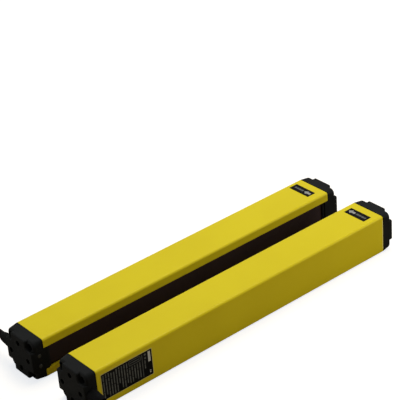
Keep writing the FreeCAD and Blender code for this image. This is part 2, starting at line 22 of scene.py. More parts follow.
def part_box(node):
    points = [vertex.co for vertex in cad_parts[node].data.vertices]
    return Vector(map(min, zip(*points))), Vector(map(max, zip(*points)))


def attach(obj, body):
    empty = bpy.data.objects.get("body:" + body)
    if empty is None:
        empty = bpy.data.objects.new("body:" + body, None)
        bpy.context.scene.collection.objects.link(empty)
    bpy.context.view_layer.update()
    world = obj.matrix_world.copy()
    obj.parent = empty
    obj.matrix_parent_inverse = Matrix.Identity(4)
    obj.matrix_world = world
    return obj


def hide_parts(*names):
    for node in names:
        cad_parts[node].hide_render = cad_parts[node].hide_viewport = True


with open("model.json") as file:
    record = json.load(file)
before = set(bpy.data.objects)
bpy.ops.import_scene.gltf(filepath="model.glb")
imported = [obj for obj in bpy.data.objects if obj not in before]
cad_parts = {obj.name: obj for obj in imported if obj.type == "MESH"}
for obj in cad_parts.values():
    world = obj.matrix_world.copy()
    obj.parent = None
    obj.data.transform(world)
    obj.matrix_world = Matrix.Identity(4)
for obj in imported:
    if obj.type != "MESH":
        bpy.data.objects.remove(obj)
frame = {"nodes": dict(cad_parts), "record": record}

LOG = logging.getLogger("light_curtain")
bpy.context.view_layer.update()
BODY = "root"
MM = 0.001
INK = 0.02 * MM  # how proud the ink of a print stands

TO_BLIND_END = Vector((1, 0, 0))
TO_RECEIVER = Vector((0, 1, 0))
UP = Vector((0, 0, 1))

Colour = tuple[float, float, float]
Point = tuple[float, float, float]
Span = tuple[float, float]


# ---------------------------------------------------------------------------
# Shader groups
# ---------------------------------------------------------------------------

class Effect(Enum):
    """Shader groups that several finishes share."""

    DRIFT = "colour_drift"
    RELIEF = "surface_relief"
    SPREAD = "gloss_spread"


class Ease(Enum):
    """How a range node runs from one limit to the other."""

    STRAIGHT = "LINEAR"
    SOFT = "SMOOTHSTEP"


class NodeSheet:
    """A node tree with short calls to add and join nodes."""

    SPACING = 220

    def __init__(self, tree: bpy.types.NodeTree) -> None:
        """Takes the tree that the nodes go into.

        Args:
            tree: the tree of a material, a world or a group.
        """
        self.tree = tree
        self.column = 0

    @classmethod
    def cleared(cls, owner: bpy.types.Material | bpy.types.World) -> "NodeSheet":
        """Opens an empty sheet on a material or a world.

        Args:
            owner: what the nodes are for.

        Returns:
            The sheet, with no node on it yet.
        """
        owner.use_nodes = True
        owner.node_tree.nodes.clear()
        return cls(owner.node_tree)

    def add(self, kind: str, **settings: object) -> bpy.types.Node:
        """Adds a node to the right of the last one.

        Args:
            kind: the node's Blender type name.
            **settings: node properties to set.

        Returns:
            The new node.
        """
        node = self.tree.nodes.new(kind)
        node.location = (self.SPACING * self.column, 0)
        self.column += 1
        for key, value in settings.items():
            setattr(node, key, value)
        return node

    def join(self, source: bpy.types.NodeSocket, target: bpy.types.NodeSocket) -> None:
        """Links an output to an input."""
        self.tree.links.new(source, target)


class EffectShop:
    """Makes each shared shader group once and hands out group nodes."""

    COLOUR_DETAIL = 3.0
    COLOUR_LIMITS = (0.35, 0.65)  # noise values at which one colour, then the other, stands alone
    GLOSS_DETAIL = 5.0
    GLOSS_LIMITS = (0.3, 0.7)  # noise values of the lowest and the highest roughness
    WAVE_DETAIL = 1.0
    GRAIN_DETAIL = 4.0
    GRAIN_RATIO = 3.7  # how many times finer the grain is than the wave

    def __init__(self) -> None:
        """Builds the three groups."""
        self.groups = {
            Effect.DRIFT: self._colour_drift(),
            Effect.RELIEF: self._surface_relief(),
            Effect.SPREAD: self._gloss_spread(),
        }

    @staticmethod
    def _group(effect: Effect, inputs: Sequence[tuple[str, str, object]],
               output: tuple[str, str]) -> NodeSheet:
        """Starts a group with its sockets.

        Args:
            effect: which group.
            inputs: name, socket type and default value of each input.
            output: name and socket type of the one output.

        Returns:
            The sheet of the new group, with its input and output nodes added.
        """
        tree = bpy.data.node_groups.new(effect.value, "ShaderNodeTree")
        for name, kind, default in inputs:
            socket = tree.interface.new_socket(name=name, in_out="INPUT", socket_type=kind)
            if default is not None:
                socket.default_value = default
        tree.interface.new_socket(name=output[0], in_out="OUTPUT", socket_type=output[1])
        sheet = NodeSheet(tree)
        sheet.add("NodeGroupInput", name="in")
        sheet.add("NodeGroupOutput", name="out")
        return sheet

    @staticmethod
    def _frequency(sheet: NodeSheet, size: bpy.types.NodeSocket) -> bpy.types.NodeSocket:
        """Turns a feature's size in metres into a noise scale, one over the size.

        Args:
            sheet: the group's sheet.
            size: gives the size.

        Returns:
            The output that gives the scale.
        """
        divide = sheet.add("ShaderNodeMath", operation="DIVIDE")
        divide.inputs[0].default_value = 1.0
        sheet.join(size, divide.inputs[1])
        return divide.outputs[0]

    @staticmethod
    def _noise(sheet: NodeSheet, place: bpy.types.NodeSocket, scale: bpy.types.NodeSocket,
               detail: float) -> bpy.types.NodeSocket:
        """Adds a noise texture.

        Args:
            sheet: the group's sheet.
            place: gives the spot on the piece.
            scale: gives the noise's scale.
            detail: how many finer layers lie on the first.

        Returns:
            The output that gives the noise, from 0 to 1 and mostly near 0.5.
        """
        noise = sheet.add("ShaderNodeTexNoise")
        noise.inputs["Detail"].default_value = detail
        sheet.join(place, noise.inputs["Vector"])
        sheet.join(scale, noise.inputs["Scale"])
        return noise.outputs["Fac"]

    @staticmethod
    def _range(sheet: NodeSheet, value: bpy.types.NodeSocket, limits: Span, ease: Ease) -> bpy.types.Node:
        """Adds a range node, which by itself runs from 0 to 1 while its value runs from limit to limit.

        Args:
            sheet: the group's sheet.
            value: gives the value.
            limits: the lower and the upper limit.
            ease: how it runs between them.

        Returns:
            The range node.
        """
        reach = sheet.add("ShaderNodeMapRange", interpolation_type=ease.value)
        reach.inputs["From Min"].default_value = limits[0]
        reach.inputs["From Max"].default_value = limits[1]
        sheet.join(value, reach.inputs["Value"])
        return reach

    def _colour_drift(self) -> bpy.types.NodeTree:
        """Mixes two close colours by soft noise of a given patch size.

        Returns:
            The group.
        """
        sheet = self._group(
            Effect.DRIFT,
            [("Place", "NodeSocketVector", None), ("Main", "NodeSocketColor", (0.5, 0.5, 0.5, 1)),
             ("Second", "NodeSocketColor", (0.4, 0.4, 0.4, 1)), ("Patch Size", "NodeSocketFloat", 0.02)],
            ("Colour", "NodeSocketColor"))
        given, out = sheet.tree.nodes["in"], sheet.tree.nodes["out"]
        scale = self._frequency(sheet, given.outputs["Patch Size"])
        noise = self._noise(sheet, given.outputs["Place"], scale, self.COLOUR_DETAIL)
        share = self._range(sheet, noise, self.COLOUR_LIMITS, Ease.SOFT)
        mix = sheet.add("ShaderNodeMix", data_type="RGBA")
        sheet.join(share.outputs["Result"], mix.inputs["Factor"])
        # The colour sockets of a Mix node share their names with the float ones.
        first_in, second_in = (socket for socket in mix.inputs if socket.type == "RGBA")
        sheet.join(given.outputs["Main"], first_in)
        sheet.join(given.outputs["Second"], second_in)
        colour_out = next(socket for socket in mix.outputs if socket.type == "RGBA")
        sheet.join(colour_out, out.inputs["Colour"])
        return sheet.tree

    def _surface_relief(self) -> bpy.types.NodeTree:
        """Adds a soft wave and a share of a finer grain, each of them noise, into one height.

        Returns:
            The group.
        """
        sheet = self._group(
            Effect.RELIEF,
            [("Place", "NodeSocketVector", None), ("Cell Size", "NodeSocketFloat", 0.0005),
             ("Fine Share", "NodeSocketFloat", 0.3)],
            ("Height", "NodeSocketFloat"))
        given, out = sheet.tree.nodes["in"], sheet.tree.nodes["out"]
        place = given.outputs["Place"]
        scale = self._frequency(sheet, given.outputs["Cell Size"])
        finer = sheet.add("ShaderNodeMath", operation="MULTIPLY")
        finer.inputs[1].default_value = self.GRAIN_RATIO
        sheet.join(scale, finer.inputs[0])
        wave = self._noise(sheet, place, scale, self.WAVE_DETAIL)
        grain = self._noise(sheet, place, finer.outputs[0], self.GRAIN_DETAIL)
        total = sheet.add("ShaderNodeMath", operation="MULTIPLY_ADD")
        sheet.join(grain, total.inputs[0])
        sheet.join(given.outputs["Fine Share"], total.inputs[1])
        sheet.join(wave, total.inputs[2])
        sheet.join(total.outputs[0], out.inputs["Height"])
        return sheet.tree

    def _gloss_spread(self) -> bpy.types.NodeTree:
        """Lets the roughness wander between two values, by noise of a given patch size.

        Returns:
            The group.
        """
        sheet = self._group(
            Effect.SPREAD,
            [("Place", "NodeSocketVector", None), ("Low", "NodeSocketFloat", 0.4),
             ("High", "NodeSocketFloat", 0.5), ("Patch Size", "NodeSocketFloat", 0.01)],
            ("Roughness", "NodeSocketFloat"))
        given, out = sheet.tree.nodes["in"], sheet.tree.nodes["out"]
        scale = self._frequency(sheet, given.outputs["Patch Size"])
        noise = self._noise(sheet, given.outputs["Place"], scale, self.GLOSS_DETAIL)
        reach = self._range(sheet, noise, self.GLOSS_LIMITS, Ease.STRAIGHT)
        sheet.join(given.outputs["Low"], reach.inputs["To Min"])
        sheet.join(given.outputs["High"], reach.inputs["To Max"])
        sheet.join(reach.outputs["Result"], out.inputs["Roughness"])
        return sheet.tree

    def place(self, sheet: NodeSheet, effect: Effect, **values: object) -> bpy.types.Node:
        """Puts a group node into a material.

        Args:
            sheet: the material's sheet.
            effect: which group.
            **values: input values, with underscores for the spaces in their names.

        Returns:
            The group node.
        """
        node = sheet.add("ShaderNodeGroup")
        node.node_tree = self.groups[effect]
        for key, value in values.items():
            node.inputs[key.replace("_", " ")].default_value = value
        return node


# ---------------------------------------------------------------------------
# Finishes
# ---------------------------------------------------------------------------

@dataclass(frozen=True)
class Finish:
    """A surface: its two close colours, the range of its roughness, its relief and its shine."""

    slot: str
    main: Colour
    second: Colour
    patch: float = 0.02  # size of the colours' patches
    gloss: Span = (0.45, 0.55)  # lowest and highest roughness
    gloss_patch: float = 0.008
    cell: float = 0.0005  # size of the relief's waves
    fine: float = 0.3  # share of the fine grain in the relief
    relief: float = 0.00002  # depth of the relief
    specular: float = 0.5
    metallic: float = 0.0
    coat: float = 0.0
    coat_roughness: float = 0.1
    transmission: float = 0.0

    def build(self, shop: EffectShop) -> bpy.types.Material:
        """Makes the material.

        Args:
            shop: where the shared groups come from.

        Returns:
            The finished material.
        """
        material = bpy.data.materials.new(self.slot)
        sheet = NodeSheet.cleared(material)
        place = sheet.add("ShaderNodeTexCoord").outputs["Object"]
        drift = shop.place(sheet, Effect.DRIFT, Main=(*self.main, 1), Second=(*self.second, 1),
                           Patch_Size=self.patch)
        spread = shop.place(sheet, Effect.SPREAD, Low=self.gloss[0], High=self.gloss[1],
                            Patch_Size=self.gloss_patch)
        relief = shop.place(sheet, Effect.RELIEF, Cell_Size=self.cell, Fine_Share=self.fine)
        for node in (drift, spread, relief):
            sheet.join(place, node.inputs["Place"])
        bump = sheet.add("ShaderNodeBump")
        bump.inputs["Strength"].default_value = 1.0
        bump.inputs["Distance"].default_value = self.relief
        sheet.join(relief.outputs["Height"], bump.inputs["Height"])
        shader = sheet.add("ShaderNodeBsdfPrincipled")
        shader.inputs["Specular IOR Level"].default_value = self.specular
        shader.inputs["Metallic"].default_value = self.metallic
        shader.inputs["Coat Weight"].default_value = self.coat
        shader.inputs["Coat Roughness"].default_value = self.coat_roughness
        shader.inputs["Transmission Weight"].default_value = self.transmission
        sheet.join(drift.outputs["Colour"], shader.inputs["Base Color"])
        sheet.join(spread.outputs["Roughness"], shader.inputs["Roughness"])
        sheet.join(bump.outputs["Normal"], shader.inputs["Normal"])
        output = sheet.add("ShaderNodeOutputMaterial")
        sheet.join(shader.outputs["BSDF"], output.inputs["Surface"])
        material.diffuse_color = (*self.main, 1)
        return material


# One finish for each slot of the record.
FINISHES = (
    Finish("yellow_powder_coat", (0.680, 0.560, 0.0115), (0.660, 0.538, 0.0105), patch=0.045,
           gloss=(0.30, 0.38), cell=0.0011, fine=0.15, relief=0.000009, specular=0.075),
    Finish("infrared_window", (0.0345, 0.0222, 0.0240), (0.0300, 0.0196, 0.0212), patch=0.03,
           gloss=(0.20, 0.30), gloss_patch=0.03, cell=0.004, fine=0.0, relief=0.000004, specular=0.022),
    Finish("seal_rubber", (0.0050, 0.0050, 0.0050), (0.0065, 0.0062, 0.0060),
           gloss=(0.7, 0.8), specular=0.15),
    Finish("cap_plastic", (0.0092, 0.0099, 0.0099), (0.0106, 0.0113, 0.0113), patch=0.012,
           gloss=(0.50, 0.60), cell=0.00035, fine=0.6, relief=0.000018, specular=0.022),
    Finish("gasket_rubber", (0.004, 0.004, 0.004), (0.006, 0.006, 0.006), gloss=(0.75, 0.85), specular=0.1),
    Finish("black_screws", (0.22, 0.22, 0.225), (0.17, 0.17, 0.175), patch=0.001,
           gloss=(0.38, 0.50), gloss_patch=0.001, cell=0.0002, relief=0.000004, specular=0.4, metallic=0.6),
    Finish("carrier_plastic", (0.012, 0.012, 0.012), (0.016, 0.016, 0.016), gloss=(0.6, 0.7), specular=0.3),
    Finish("lens_plastic", (0.12, 0.015, 0.012), (0.10, 0.012, 0.010), gloss=(0.05, 0.10),
           relief=0.000001, transmission=0.7),
    Finish("circuit_board", (0.012, 0.070, 0.030), (0.016, 0.085, 0.038), patch=0.004,
           gloss=(0.30, 0.40), cell=0.0008, coat=0.4),
    Finish("component_plastic", (0.018, 0.018, 0.019), (0.024, 0.024, 0.025), gloss=(0.45, 0.6)),
    Finish("indicator_plastic", (0.030, 0.034, 0.033), (0.026, 0.029, 0.028), patch=0.002,
           gloss=(0.12, 0.20), gloss_patch=0.002, relief=0.000002, specular=0.2),
    Finish("diode_plastic", (0.05, 0.045, 0.05), (0.06, 0.055, 0.06), gloss=(0.08, 0.15)),
    Finish("label_film", (0.0055, 0.0055, 0.0058), (0.0068, 0.0068, 0.0070), patch=0.006,
           gloss=(0.36, 0.46), cell=0.0009, fine=0.2, relief=0.000003, specular=0.01),
    Finish("plate_film", (0.0050, 0.0052, 0.0054), (0.0064, 0.0066, 0.0066), patch=0.008,
           gloss=(0.34, 0.44), cell=0.0012, fine=0.2, relief=0.000003, specular=0.02),
    Finish("cable_rubber", (0.0052, 0.0052, 0.0054), (0.0072, 0.0072, 0.0075), patch=0.01,
           gloss=(0.55, 0.68), cell=0.0004, fine=0.5, relief=0.000015, specular=0.012),
    Finish("plug_plastic", (0.009, 0.009, 0.009), (0.012, 0.012, 0.012), patch=0.006,
           gloss=(0.5, 0.6), cell=0.0003, fine=0.5, relief=0.00001, specular=0.25),
    Finish("plug_metal", (0.56, 0.54, 0.50), (0.50, 0.48, 0.45), patch=0.003,
           gloss=(0.20, 0.30), gloss_patch=0.002, cell=0.0003, relief=0.000003, metallic=1.0),
    Finish("pin_metal", (0.80, 0.58, 0.22), (0.76, 0.54, 0.20), patch=0.002,
           gloss=(0.18, 0.26), gloss_patch=0.001, relief=0.000001, metallic=1.0),
)

# Finishes of the print, the bare edge of the plate's film and the painted edge highlight, which count with
# other slots.
EXTRAS = (
    Finish("pale_print", (0.60, 0.61, 0.58), (0.52, 0.53, 0.50), patch=0.002,
           gloss=(0.5, 0.6), relief=0.000001, specular=0.1),
    Finish("grey_print", (0.125, 0.132, 0.124), (0.088, 0.094, 0.088), patch=0.003,
           gloss=(0.5, 0.6), relief=0.000001, specular=0.05),
    Finish("arrow_print", (0.33, 0.33, 0.31), (0.28, 0.28, 0.26), patch=0.002,
           gloss=(0.5, 0.6), relief=0.000001, specular=0.05),
    Finish("film_edge", (0.62, 0.56, 0.20), (0.54, 0.48, 0.16), patch=0.004,
           gloss=(0.5, 0.6), relief=0.000001, specular=0.05),
    # A painted highlight: the pale yellow line where a housing's rounded corner catches the light.
    Finish("painted_edge_highlight", (0.86, 0.76, 0.22), (0.80, 0.70, 0.18), patch=0.004,
           gloss=(0.35, 0.45), relief=0.000002, specular=0.2),
)


class FinishBook:
    """All the materials, found by the names of their finishes."""

    def __init__(self, shop: EffectShop) -> None:
        """Builds every finish once.

        Args:
            shop: where the shared groups come from.
        """
        self.materials = {finish.slot: finish.build(shop) for finish in (*FINISHES, *EXTRAS)}

    def dress(self, piece: bpy.types.Object, look: str) -> None:
        """Gives a piece one material all over."""
        piece.data.materials.clear()
        piece.data.materials.append(self.materials[look])

    def hand_over(self, piece: bpy.types.Object, look: str) -> None:
        """Dresses a new piece and ties it to the body.

        Args:
            piece: the new piece.
            look: the finish that it gets.
        """
        self.dress(piece, look)
        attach(piece, BODY)

    def dress_frame(self) -> int:
        """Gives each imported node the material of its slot.

        Returns:
            How many nodes were dressed.
        """
        parts = frame["record"]["subparts"]
        for part in parts:
            self.dress(frame["nodes"][part["node"]], part["material_slot"])
        return len(parts)


# ---------------------------------------------------------------------------
# Meshes
# ---------------------------------------------------------------------------

def linked(name: str, data: bpy.types.ID) -> bpy.types.Object:
    """Makes an object at the origin and links it to the scene.

    Args:
        name: the object's name.
        data: its mesh, curve, lamp or camera data.

    Returns:
        The object.
    """
    made = bpy.data.objects.new(name, data)
    bpy.context.scene.collection.objects.link(made)
    return made


def new_piece(name: str, vertices: np.ndarray, faces: Sequence[Sequence[int]],
              smooth: bool = False) -> bpy.types.Object:
    """Makes a mesh object from whole arrays.

    Args:
        name: the piece's name.
        vertices: n by 3 points.
        faces: the corner numbers of each face, counter-clockwise from outside.
        smooth: whether the faces shade smooth.

    Returns:
        The object, linked to the scene, at the origin.
    """
    mesh = bpy.data.meshes.new(name)
    mesh.from_pydata(vertices.tolist(), [], faces)
    mesh.polygons.foreach_set("use_smooth", np.full(len(faces), smooth))
    mesh.update()
    return linked(name, mesh)


def closed_grid(rows: int, columns: int) -> list[list[int]]:
    """Faces of a grid that closes on itself both ways, as a ring's skin does.

    Corner (i, j) is number i times the columns plus j, and the last row and column join the first.

    Args:
        rows: how many rows of corners.
        columns: how many corners in a row.

    Returns:
        The four corner numbers of each face.
    """
    i, j = np.meshgrid(np.arange(rows), np.arange(columns), indexing="ij")
    down = (i + 1) % rows
    right = (j + 1) % columns
    corners = [i * columns + j, down * columns + j, down * columns + right, i * columns + right]
    return np.stack([corner.ravel() for corner in corners], axis=1).tolist()


@dataclass(frozen=True)
class PrintPlane:
    """The face that a print lies on: a corner and two directions along it."""

    corner: Vector
    across: Vector
    along: Vector

    def slabs(self, name: str, patches: np.ndarray, thickness: float = INK) -> bpy.types.Object:
        """Lays thin closed slabs on the plane.

        Each patch (a0, a1, b0, b1) is a rectangle, a across and b along. Its eight corners are the
        plane's corner plus a times across plus b times along, once on the face and once lifted by
        the thickness along the normal, which is the cross product of across and along.

        Args:
            name: the piece's name.
            patches: n by 4 rectangle sides, in metres.
            thickness: how thick the slabs are.

        Returns:
            The slabs as one object.
        """
        across, along = np.array(self.across), np.array(self.along)
        a = patches[:, [0, 1, 1, 0], None]
        b = patches[:, [2, 2, 3, 3], None]
        flat = np.array(self.corner) + a * across + b * along
        lift = thickness * np.array(self.across.cross(self.along))
        vertices = np.concatenate([flat, flat + lift], axis=1).reshape(-1, 3)
        box = np.array([[3, 2, 1, 0], [4, 5, 6, 7], [0, 1, 5, 4], [1, 2, 6, 5], [2, 3, 7, 6], [3, 0, 4, 7]])
        faces = (np.arange(len(patches))[:, None, None] * 8 + box).reshape(-1, 4)
        return new_piece(name, vertices, faces.tolist())


# ---------------------------------------------------------------------------
# Print
# ---------------------------------------------------------------------------

@dataclass(frozen=True)
class WordRow:
    """How a line of print is cut into dashes as long as words."""

    shortest: float
    longest: float
    space: float
    drawn: int = 24  # lengths drawn for a line, more than any line holds

    def dashes(self, rng: np.random.Generator, start: float, end: float) -> np.ndarray:
        """Cuts one line.

        The dash lengths are drawn at random and laid one after another with a space between them. A
        dash that passes the line's end is cut there, and left out if under half a word is left.

        Args:
            rng: the seeded source of chance.
            start: where the line starts.
            end: where it has to end.

        Returns:
            n by 2 starts and ends.
        """
        lengths = rng.uniform(self.shortest, self.longest, self.drawn)
        starts = start + np.concatenate([[0.0], np.cumsum(lengths + self.space)[:-1]])
        ends = np.minimum(starts + lengths, end)
        kept = ends - starts > self.shortest / 2
        return np.stack([starts[kept], ends[kept]], axis=1)


def line_patches(centre: float, width: float, spans: np.ndarray) -> np.ndarray:
    """Gives each dash of a line the line's width.

    Args:
        centre: the line's middle, across it.
        width: how wide the line is.
        spans: n by 2 starts and ends along the line.

    Returns:
        n by 4 patches.
    """
    side = np.full(len(spans), centre)
    return np.stack([side - width / 2, side + width / 2, spans[:, 0], spans[:, 1]], axis=1)


@dataclass(frozen=True)
class PlatePrint:
    """Bare fields for the print on the emitter's data plate, and the bare edge of its film.

    The lines of words run up the plate. From the cable end there are full lines, then shorter ones
    under a framed box, then a rule. Past it come two grey marks over one more line, and last a pale
    block over two pale marks. Starts are shares of the plate's width, feet and heights of its height.
    """

    node: str = "emitter_data_plate"
    seed: int = 7
    margin: float = 1.0 * MM
    words: WordRow = WordRow(2.2 * MM, 9.0 * MM, 0.5 * MM)
    stroke: float = 0.80 * MM
    pitch: float = 2.1 * MM
    indent: float = 0.30  # longest indent of a line, as a share of it
    indented: float = 0.5  # share of the lines that have one

    first_line: float = 1.4 * MM
    box_start: float = 0.54
    box_foot: float = 0.76
    frame_line: float = 0.4 * MM
    boxed_line: Span = (1.6 * MM, 2.1 * MM)  # the line in the box, over the box's foot
    short_lines: Span = (0.3 * MM, 0.8 * MM)  # how far they keep from the box's start and the rule

    rule_start: float = 0.80
    rule_width: float = 0.45 * MM
    grey_marks: Span = (2.0 * MM, 3.4 * MM)  # past the rule
    grey_mark_heights: tuple[Span, ...] = ((0.86, 0.93), (0.72, 0.79))
    side_line: float = 2.3 * MM  # past the rule
    side_line_height: Span = (0.35, 0.68)

    block_inset: float = 3.1 * MM
    block_width: float = 1.9 * MM
    block_foot: float = 0.55
    pale_marks: Span = (0.4 * MM, 1.5 * MM)  # past the block's start
    pale_mark_heights: tuple[Span, ...] = ((0.10, 0.14), (0.17, 0.20))

    rim: float = 0.45 * MM
    rim_thickness: float = 0.08 * MM

    def lines(self, first: float, last: float, low: float, high: float) -> np.ndarray:
        """Lines of words, one pitch apart. Half of them, drawn at random, start higher.

        Args:
            first: middle of the first line, along the bar.
            last: limit for the lines' middles.
            low: the lines' lower end.
            high: their upper end.

        Returns:
            n by 4 patches.
        """
        rng = np.random.default_rng(self.seed + int(first / MM))
        found = []
        for centre in np.arange(first, last, self.pitch):
            start = low + rng.uniform(0.0, self.indent) * (high - low) * (rng.random() < self.indented)
            found.append(line_patches(centre, self.stroke, self.words.dashes(rng, start, high)))
        return np.concatenate(found)

    def grey(self, width: float, height: float) -> np.ndarray:
        """The lines of words, the framed box with its line, the rule and the grey marks.

        Args:
            width: the plate's width, along the bar.
            height: its height.

        Returns:
            n by 4 patches.
        """
        margin = self.margin
        top = height - margin
        rule = self.rule_start * width
        start, end = self.box_start * width, rule - margin
        foot, line = self.box_foot * height, self.frame_line
        box = [(start, end, foot, foot + line),
               (start, end, top - line, top),
               (start, start + line, foot, top),
               (end - line, end, foot, top),
               (start + margin, end - margin, foot + self.boxed_line[0], foot + self.boxed_line[1])]
        marks = [(rule + self.grey_marks[0], rule + self.grey_marks[1], low * height, high * height)
                 for low, high in self.grey_mark_heights]
        side = rule + self.side_line
        return np.concatenate([
            self.lines(self.first_line, start - margin, margin, top),
            self.lines(start + self.short_lines[0], rule - self.short_lines[1], 2 * margin, foot - margin),
            self.lines(side, side + self.stroke, *(share * height for share in self.side_line_height)),
            box, [(rule, rule + self.rule_width, margin, top), *marks]])

    def pale(self, width: float, height: float) -> np.ndarray:
        """The pale block and the pale marks under it.

        Args:
            width: the plate's width, along the bar.
            height: its height.

        Returns:
            n by 4 patches.
        """
        start = width - self.block_inset
        block = (start, start + self.block_width, self.block_foot * height, height - self.margin)
        marks = [(start + self.pale_marks[0], start + self.pale_marks[1], low * height, high * height)
                 for low, high in self.pale_mark_heights]
        return np.array([block, *marks])

    def film_edge(self, width: float, height: float) -> np.ndarray:
        """Four strips round the plate: under it, over it and at its two ends.

        Args:
            width: the plate's width, along the bar.
            height: its height.

        Returns:
            4 by 4 patches.
        """
        rim = self.rim
        return np.array([
            [-rim, width + rim, -rim, 0.0],
            [-rim, width + rim, height, height + rim],
            [-rim, 0.0, 0.0, height],
            [width, width + rim, 0.0, height]])

    def build(self, book: FinishBook) -> list[bpy.types.Object]:
        """Makes the grey print, the pale print and the film's bare edge.

        The print lies on the plate's outer face, and the edge on the housing's wall behind it.

        Args:
            book: the materials.

        Returns:
            The three pieces.
        """
        low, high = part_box(self.node)
        width, height = high.x - low.x, high.z - low.z
        face = PrintPlane(Vector((low.x, low.y, low.z)), TO_BLIND_END, UP)
        wall = PrintPlane(Vector((low.x, high.y, low.z)), TO_BLIND_END, UP)
        grey = face.slabs("plate_print_grey", self.grey(width, height))
        pale = face.slabs("plate_print_pale", self.pale(width, height))
        edge = wall.slabs("plate_film_edge", self.film_edge(width, height), self.rim_thickness)
        book.hand_over(grey, "grey_print")
        book.hand_over(pale, "pale_print")
        book.hand_over(edge, "film_edge")
        return [grey, pale, edge]


@dataclass(frozen=True)
class ArrowPrint:
    """A plain arrow that shows which way the beams go, and a line of bare dashes beside it."""

    node: str
    arrow_share: float  # where the arrow's tail is, as a share of the label's length
    head: float = 2.9 * MM
    shaft: float = 3.4 * MM
    head_width: float = 4.6 * MM
    shaft_width: float = 2.1 * MM
    words: WordRow = WordRow(1.3 * MM, 2.4 * MM, 0.4 * MM)
    word_height: float = 1.8 * MM
    gap: float = 1.0 * MM  # between the arrow and the dashes
    margin: float = 1.6 * MM  # between the dashes and the label's end
    seed: int = 3

    def arrow(self, centre: float, tail: float, top: float) -> bpy.types.Object:
        """Makes the arrow as a flat slab.

        Its outline has seven corners: up one side of the shaft, out to the head, over the tip and
        back down the other side. The corners lie once on the face and once lifted by the ink.

        Args:
            centre: the arrow's middle line, along the bar.
            tail: where the shaft starts, across the bars.
            top: height of the label's face.

        Returns:
            The arrow.
        """
        neck = tail + self.shaft
        shaft, head = self.shaft_width / 2, self.head_width / 2
        x = centre + np.array([shaft, shaft, head, 0, -head, -shaft, -shaft])
        y = np.array([tail, neck, neck, neck + self.head, neck, neck, tail])
        lower = np.stack([x, y, np.full(len(x), top)], axis=1)
        ring = np.arange(len(x))
        following = np.roll(ring, -1)
        upper_ring = ring + len(x)
        sides = np.stack([ring, following, following + len(x), upper_ring], axis=1)
        faces = [ring[::-1].tolist(), upper_ring.tolist(), *sides.tolist()]
        return new_piece(self.node + "_arrow", np.concatenate([lower, lower + (0, 0, INK)]), faces)

    def build(self, book: FinishBook) -> list[bpy.types.Object]:
        """Makes the arrow and the dashes, which fill the longer part of the label that it leaves.

        Args:
            book: the materials.

        Returns:
            The two pieces.
        """
        low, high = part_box(self.node)
        centre = (low.x + high.x) / 2
        tail = low.y + self.arrow_share * (high.y - low.y)
        if self.arrow_share < 0.5:
            start, end = tail + self.shaft + self.head + self.gap, high.y - self.margin
        else:
            start, end = low.y + self.margin, tail - self.gap
        # Each label has its own seed, so that the two lines of dashes differ.
        rng = np.random.default_rng(self.seed + int(1000 * self.arrow_share))
        face = PrintPlane(Vector((0, 0, high.z)), TO_BLIND_END, TO_RECEIVER)
        arrow = self.arrow(centre, tail, high.z)
        field = face.slabs(self.node + "_field",
                           line_patches(centre, self.word_height, self.words.dashes(rng, start, end)))
        book.hand_over(arrow, "arrow_print")
        book.hand_over(field, "grey_print")
        return [arrow, field]


class Side(Enum):
    """Which long side of the pair a housing's outer wall is on."""

    NEAR = "emitter's back"
    FAR = "receiver's back"


@dataclass(frozen=True)
class PaintedEdgeHighlight:
    """A painted highlight: a bright line on a housing's outer wall at its blind end, where the rounded
    corner catches the light.
    """

    node: str
    side: Side
    width: float = 0.6 * MM
    corner: float = 3.0 * MM  # the housing's rounded corner, which the line leaves out
    thickness: float = 0.03 * MM

    def build(self, book: FinishBook) -> bpy.types.Object:
        """Makes one housing's painted highlight.

        Args:
            book: the materials.

        Returns:
            The line.
        """
        low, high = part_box(self.node)
        if self.side is Side.NEAR:
            wall = PrintPlane(Vector((high.x - self.width, low.y, low.z)), TO_BLIND_END, UP)
        else:
            wall = PrintPlane(Vector((high.x, high.y, low.z)), -TO_BLIND_END, UP)
        line = np.array([[0.0, self.width, self.corner, high.z - low.z - self.corner]])
        piece = wall.slabs(self.node + "_painted_edge_highlight", line, self.thickness)
        book.hand_over(piece, "painted_edge_highlight")
        return piece


# ---------------------------------------------------------------------------
# Cable
# ---------------------------------------------------------------------------

